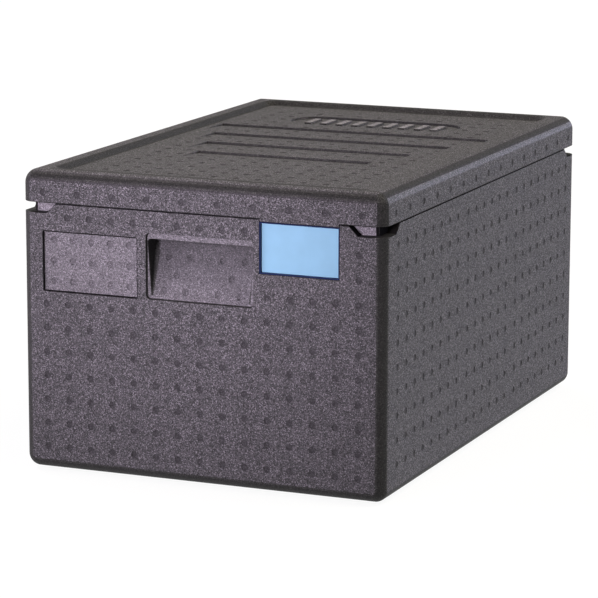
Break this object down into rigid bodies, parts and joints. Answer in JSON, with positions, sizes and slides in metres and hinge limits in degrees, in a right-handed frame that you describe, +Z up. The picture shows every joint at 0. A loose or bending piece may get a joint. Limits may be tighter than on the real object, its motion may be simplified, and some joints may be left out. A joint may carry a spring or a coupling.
{
  "type": "insulated food carrier",
  "caption": "Top-loading insulated foam carrier for a full-size food pan, with a lift-off lid, handle pockets in the ends and a push-fit identification clip.",
  "frame": {"origin": "centre of the bounding box's bottom face, on the base of the stacking plinth", "axes": "+Z up, +Y along the length away from the end that holds the identification clip, +X across the width"},
  "size_m": [0.4, 0.6, 0.316],
  "materials": {
    "body_foam": "matte",
    "lid_foam": "matte",
    "clip_plastic": "satin",
    "card_plastic": "satin"
  },
  "bodies": {
    "body": {"body": "body_foam"},
    "lid": {"lid": "lid_foam"},
    "id_clip": {"id_clip": "clip_plastic", "id_card": "card_plastic"}
  },
  "joints": [
    {"name": "lid_lift", "type": "slide", "parent": "body", "child": "lid", "axis": [0, 0, 1], "range_m": [0, 0.3]},
    {"name": "id_clip_pull", "type": "slide", "parent": "body", "child": "id_clip", "axis": [0, -1, 0], "range_m": [0, 0.02]}
  ]
}
